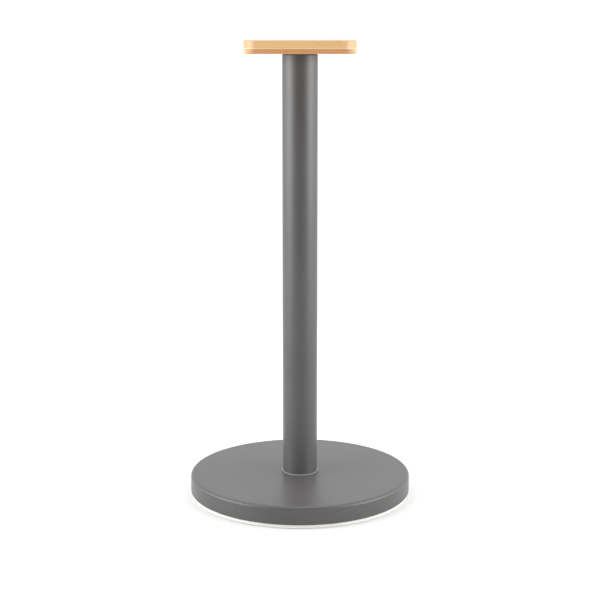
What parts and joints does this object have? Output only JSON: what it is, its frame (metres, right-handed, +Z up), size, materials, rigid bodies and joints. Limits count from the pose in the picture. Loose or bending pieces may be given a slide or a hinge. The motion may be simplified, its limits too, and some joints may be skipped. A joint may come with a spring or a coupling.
{
  "type": "paper towel holder",
  "caption": "Counter-top paper towel holder: weighted round steel base on a soft ring, upright steel tube, and a square bamboo cap that unscrews to load a roll.",
  "frame": {"origin": "on the surface that the holder stands on, under the axis of the tube", "axes": "+Z up along the tube, -Y towards the front, X along the cap's front edge"},
  "size_m": [0.166, 0.166, 0.3392],
  "materials": {
    "grey_paint": "satin warm-grey powder coat, smooth, on sheet steel and tube",
    "bamboo": "pale lacquered bamboo, two crossed plies, fine straight grain",
    "foot_silicone": "translucent milky silicone, matt",
    "seat_plastic": "moulded grey plastic, satin",
    "ballast_iron": "sand-cast grey iron, dipped in dark primer, matt and grainy",
    "zinc_plate": "bright zinc plating on stamped steel",
    "zinc_screws": "bright zinc plating, cross recess",
    "plain_steel": "turned and cut steel, lightly oiled",
    "insert_brass": "machined brass",
    "gasket_silicone": "dark grey silicone, matt"
  },
  "bodies": {
    "stand": {"base_shell": "grey_paint", "ballast_casting": "ballast_iron", "bottom_plate": "zinc_plate", "foot_ring": "foot_silicone", "plate_screw_1": "zinc_screws", "plate_screw_2": "zinc_screws", "plate_screw_3": "zinc_screws", "plate_screw_4": "zinc_screws", "flat_washer": "zinc_plate", "spring_washer": "plain_steel", "clamp_bolt": "plain_steel", "post_seat": "seat_plastic", "post_tube": "grey_paint", "foot_plug": "plain_steel", "top_plug": "plain_steel"},
    "seal": {"cap_gasket": "gasket_silicone"},
    "backing": {"cap_washer": "zinc_plate"},
    "cap": {"cap_board": "bamboo", "cap_insert": "insert_brass", "cap_stud": "plain_steel"}
  },
  "joints": [
    {"name": "cap_lift", "type": "slide", "parent": "stand", "child": "seal", "axis": [0, 0, 1], "range_m": [0, 0.06]},
    {"name": "cap_rise", "type": "slide", "parent": "seal", "child": "backing", "axis": [0, 0, 1], "range_m": [0, 0.0075]},
    {"name": "cap_turn", "type": "hinge", "parent": "backing", "child": "cap", "pos_m": [0, 0, 0.32975], "axis": [0, 0, 1], "range_deg": [0, 2160]}
  ],
  "couplings": [
    {"joint": "cap_rise", "follows": "cap_turn", "m_per_rad": 0.00019894}
  ]
}
